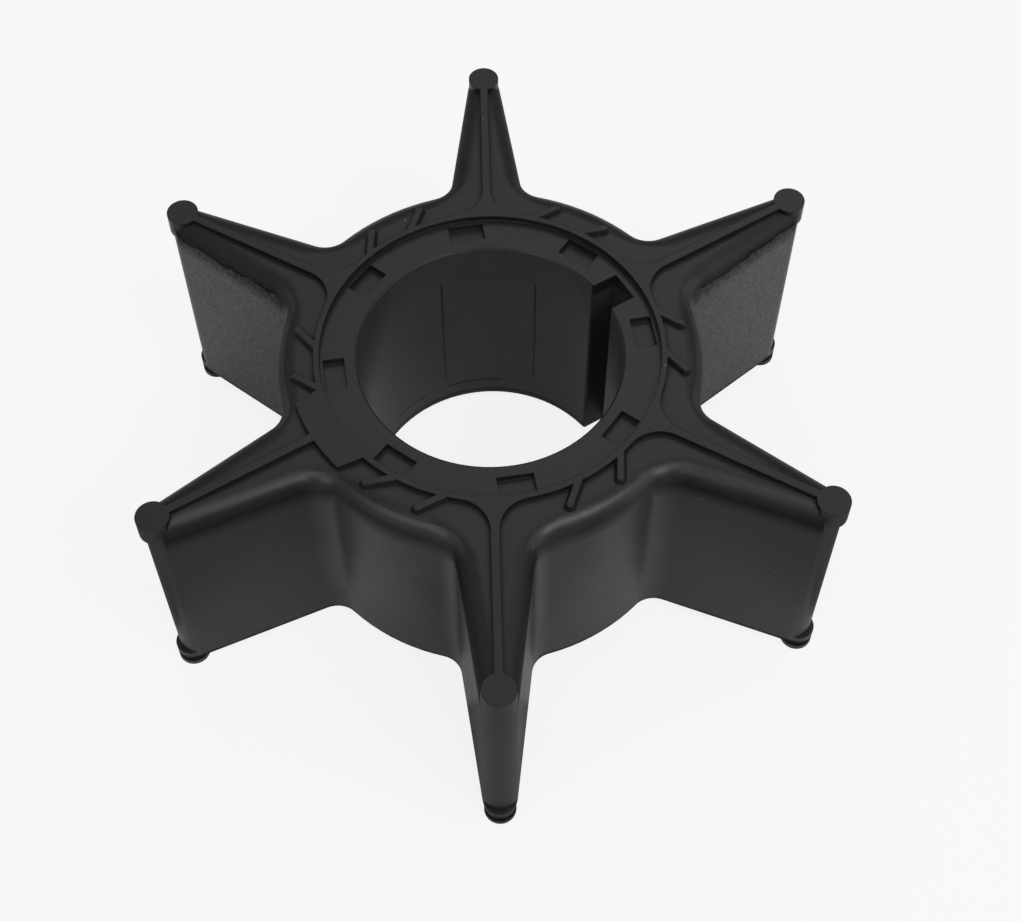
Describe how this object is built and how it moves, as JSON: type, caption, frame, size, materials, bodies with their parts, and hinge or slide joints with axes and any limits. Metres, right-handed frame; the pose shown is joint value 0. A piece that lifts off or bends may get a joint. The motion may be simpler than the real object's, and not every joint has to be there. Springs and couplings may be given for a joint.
{
  "type": "pump impeller",
  "caption": "Flexible rubber pump impeller with tapering vanes, round tip heads, raised face ribs and a moulded-in drive bush with a keyed through bore.",
  "frame": {"origin": "centre of the bore at the lower end face, on which the part rests", "axes": "+Z along the shaft bore towards the end face with the bush pockets; one vane points along +Y, one along -Y, and the keyway lies 30 degrees from +X towards +Y"},
  "size_m": [0.0576, 0.066, 0.024],
  "materials": {
    "rubber": "matte",
    "bush": "matte"
  },
  "bodies": {
    "root": {"rubber_body": "rubber", "drive_bush": "bush"}
  },
  "joints": []
}
